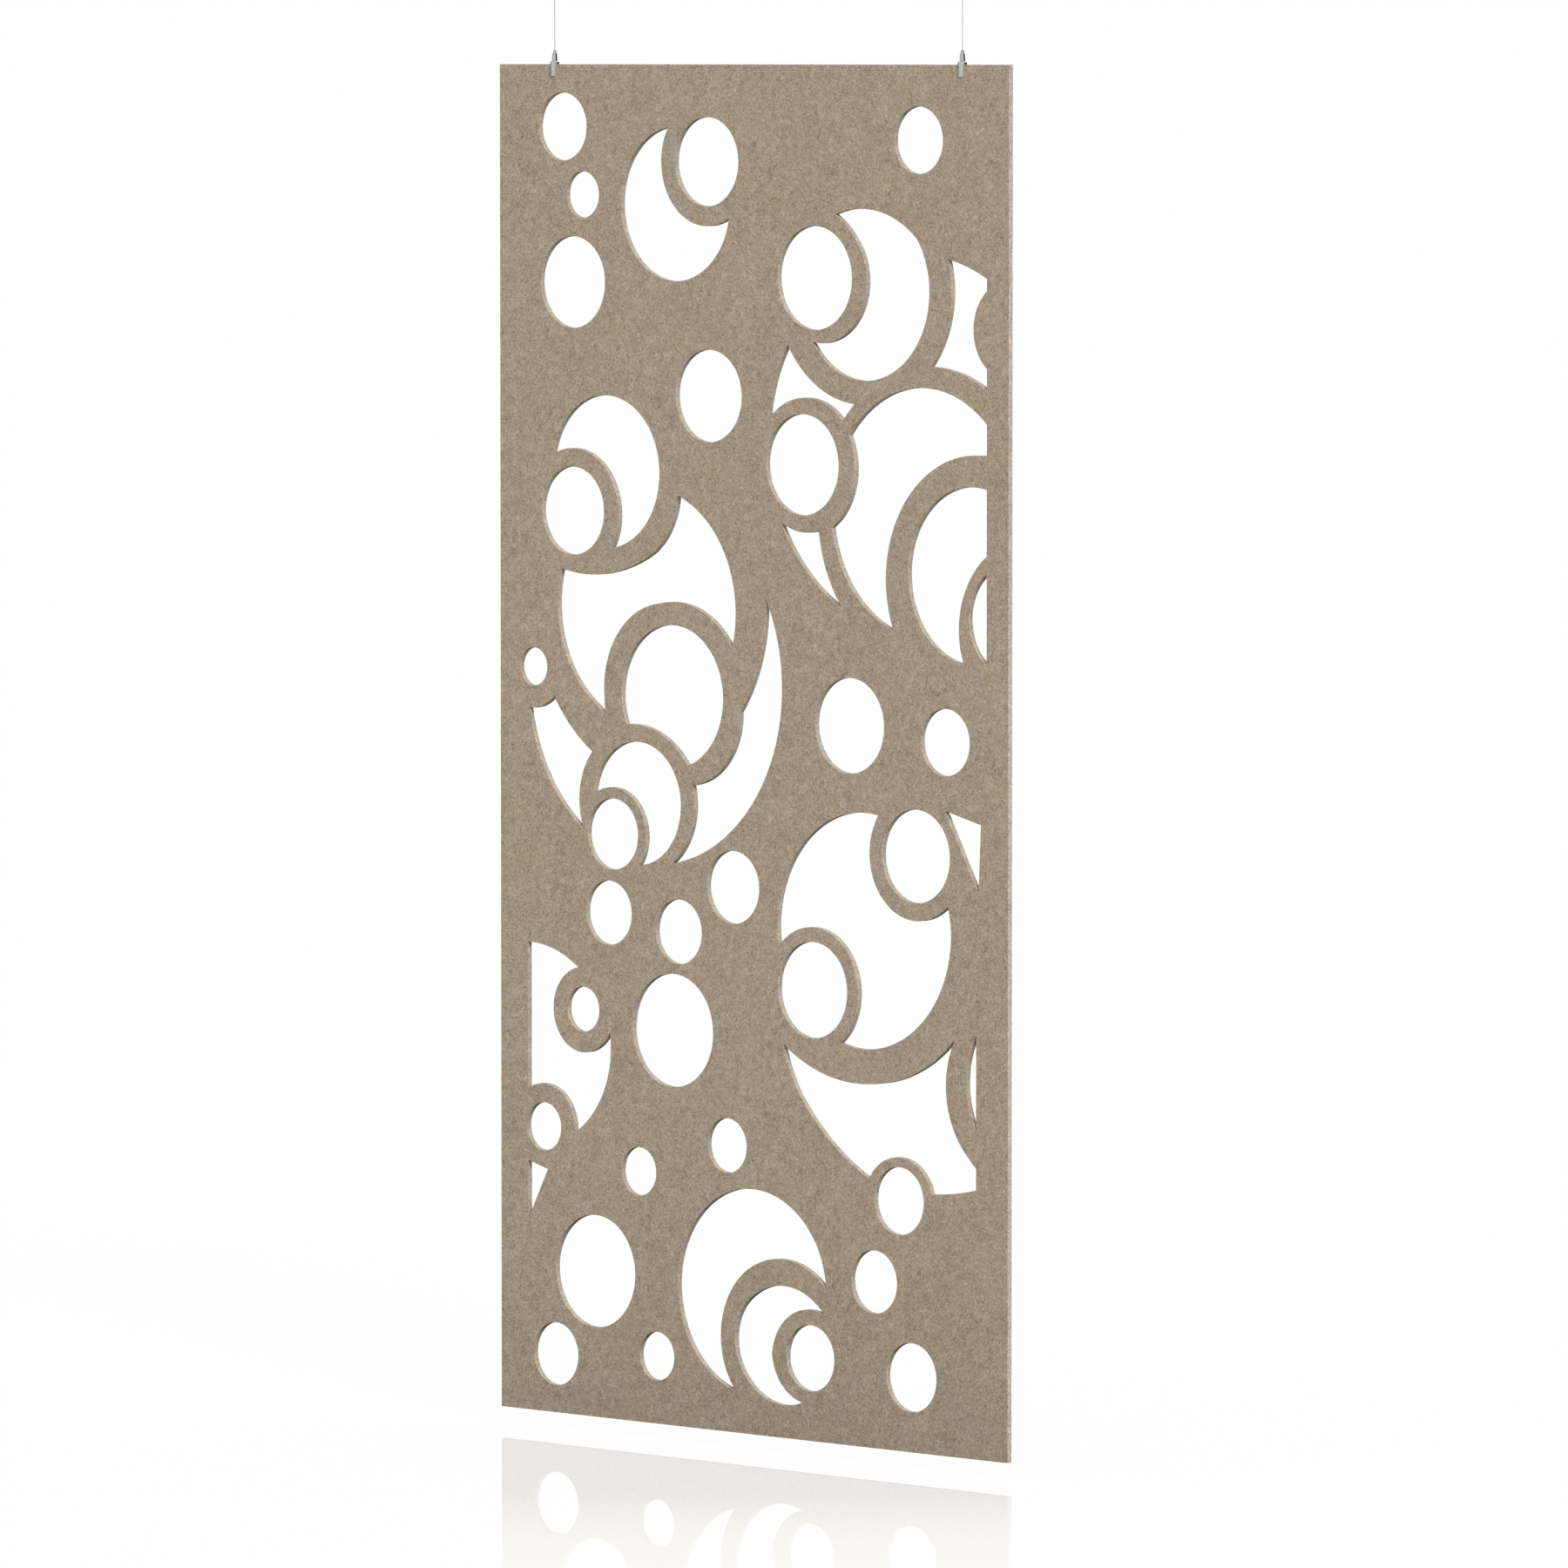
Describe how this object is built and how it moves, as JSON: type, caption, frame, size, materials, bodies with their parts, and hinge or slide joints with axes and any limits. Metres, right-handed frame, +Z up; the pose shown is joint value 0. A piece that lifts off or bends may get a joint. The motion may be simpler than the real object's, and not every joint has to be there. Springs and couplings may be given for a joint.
{
  "type": "hanging room divider panel",
  "caption": "Tall felt board with a pattern of overlapping round cut-outs, hung from the ceiling on steel wires through self-locking grippers and slotted edge clamps.",
  "frame": {"origin": "on the ceiling, half way between the screws of the two ceiling fittings", "axes": "+Z up, +X to the right along the board, front of the board faces -Y"},
  "size_m": [1.25, 0.024, 2.55],
  "materials": {
    "felt": "matte",
    "polished_chrome": "polished",
    "wire_steel": "satin",
    "screw_steel": "satin",
    "spring_steel": "satin"
  },
  "bodies": {
    "ceiling_fittings": {"ceiling_base_left": "polished_chrome", "ceiling_base_right": "polished_chrome", "ceiling_cap_left": "polished_chrome", "ceiling_cap_right": "polished_chrome"},
    "wires": {"suspension_wire_left": "wire_steel", "suspension_wire_right": "wire_steel", "wire_stop_left": "wire_steel", "wire_stop_right": "wire_steel"},
    "board": {"panel": "felt", "panel_clamp_left": "polished_chrome", "panel_clamp_right": "polished_chrome", "clamp_screw_left": "screw_steel", "clamp_screw_right": "screw_steel", "gripper_barrel_left": "polished_chrome", "gripper_barrel_right": "polished_chrome", "gripper_spring_left": "spring_steel", "gripper_spring_right": "spring_steel"},
    "nozzle_left": {"release_nozzle_left": "polished_chrome", "grip_balls_left": "screw_steel"},
    "nozzle_right": {"release_nozzle_right": "polished_chrome", "grip_balls_right": "screw_steel"}
  },
  "joints": [
    {"name": "swing", "type": "hinge", "parent": "ceiling_fittings", "child": "wires", "pos_m": [0, 0, -0.019], "axis": [1, 0, 0], "range_deg": [-8, 8]},
    {"name": "levelling", "type": "slide", "parent": "wires", "child": "board", "axis": [0, 0, 1], "range_m": [-0.008, 0]},
    {"name": "release_left", "type": "slide", "parent": "board", "child": "nozzle_left", "axis": [0, 0, -1], "range_m": [0, 0.0018], "stiffness_N_per_m": 800, "springref_m": -0.001, "deforming": ["gripper_spring_left"]},
    {"name": "release_right", "type": "slide", "parent": "board", "child": "nozzle_right", "axis": [0, 0, -1], "range_m": [0, 0.0018], "stiffness_N_per_m": 800, "springref_m": -0.001, "deforming": ["gripper_spring_right"]}
  ]
}
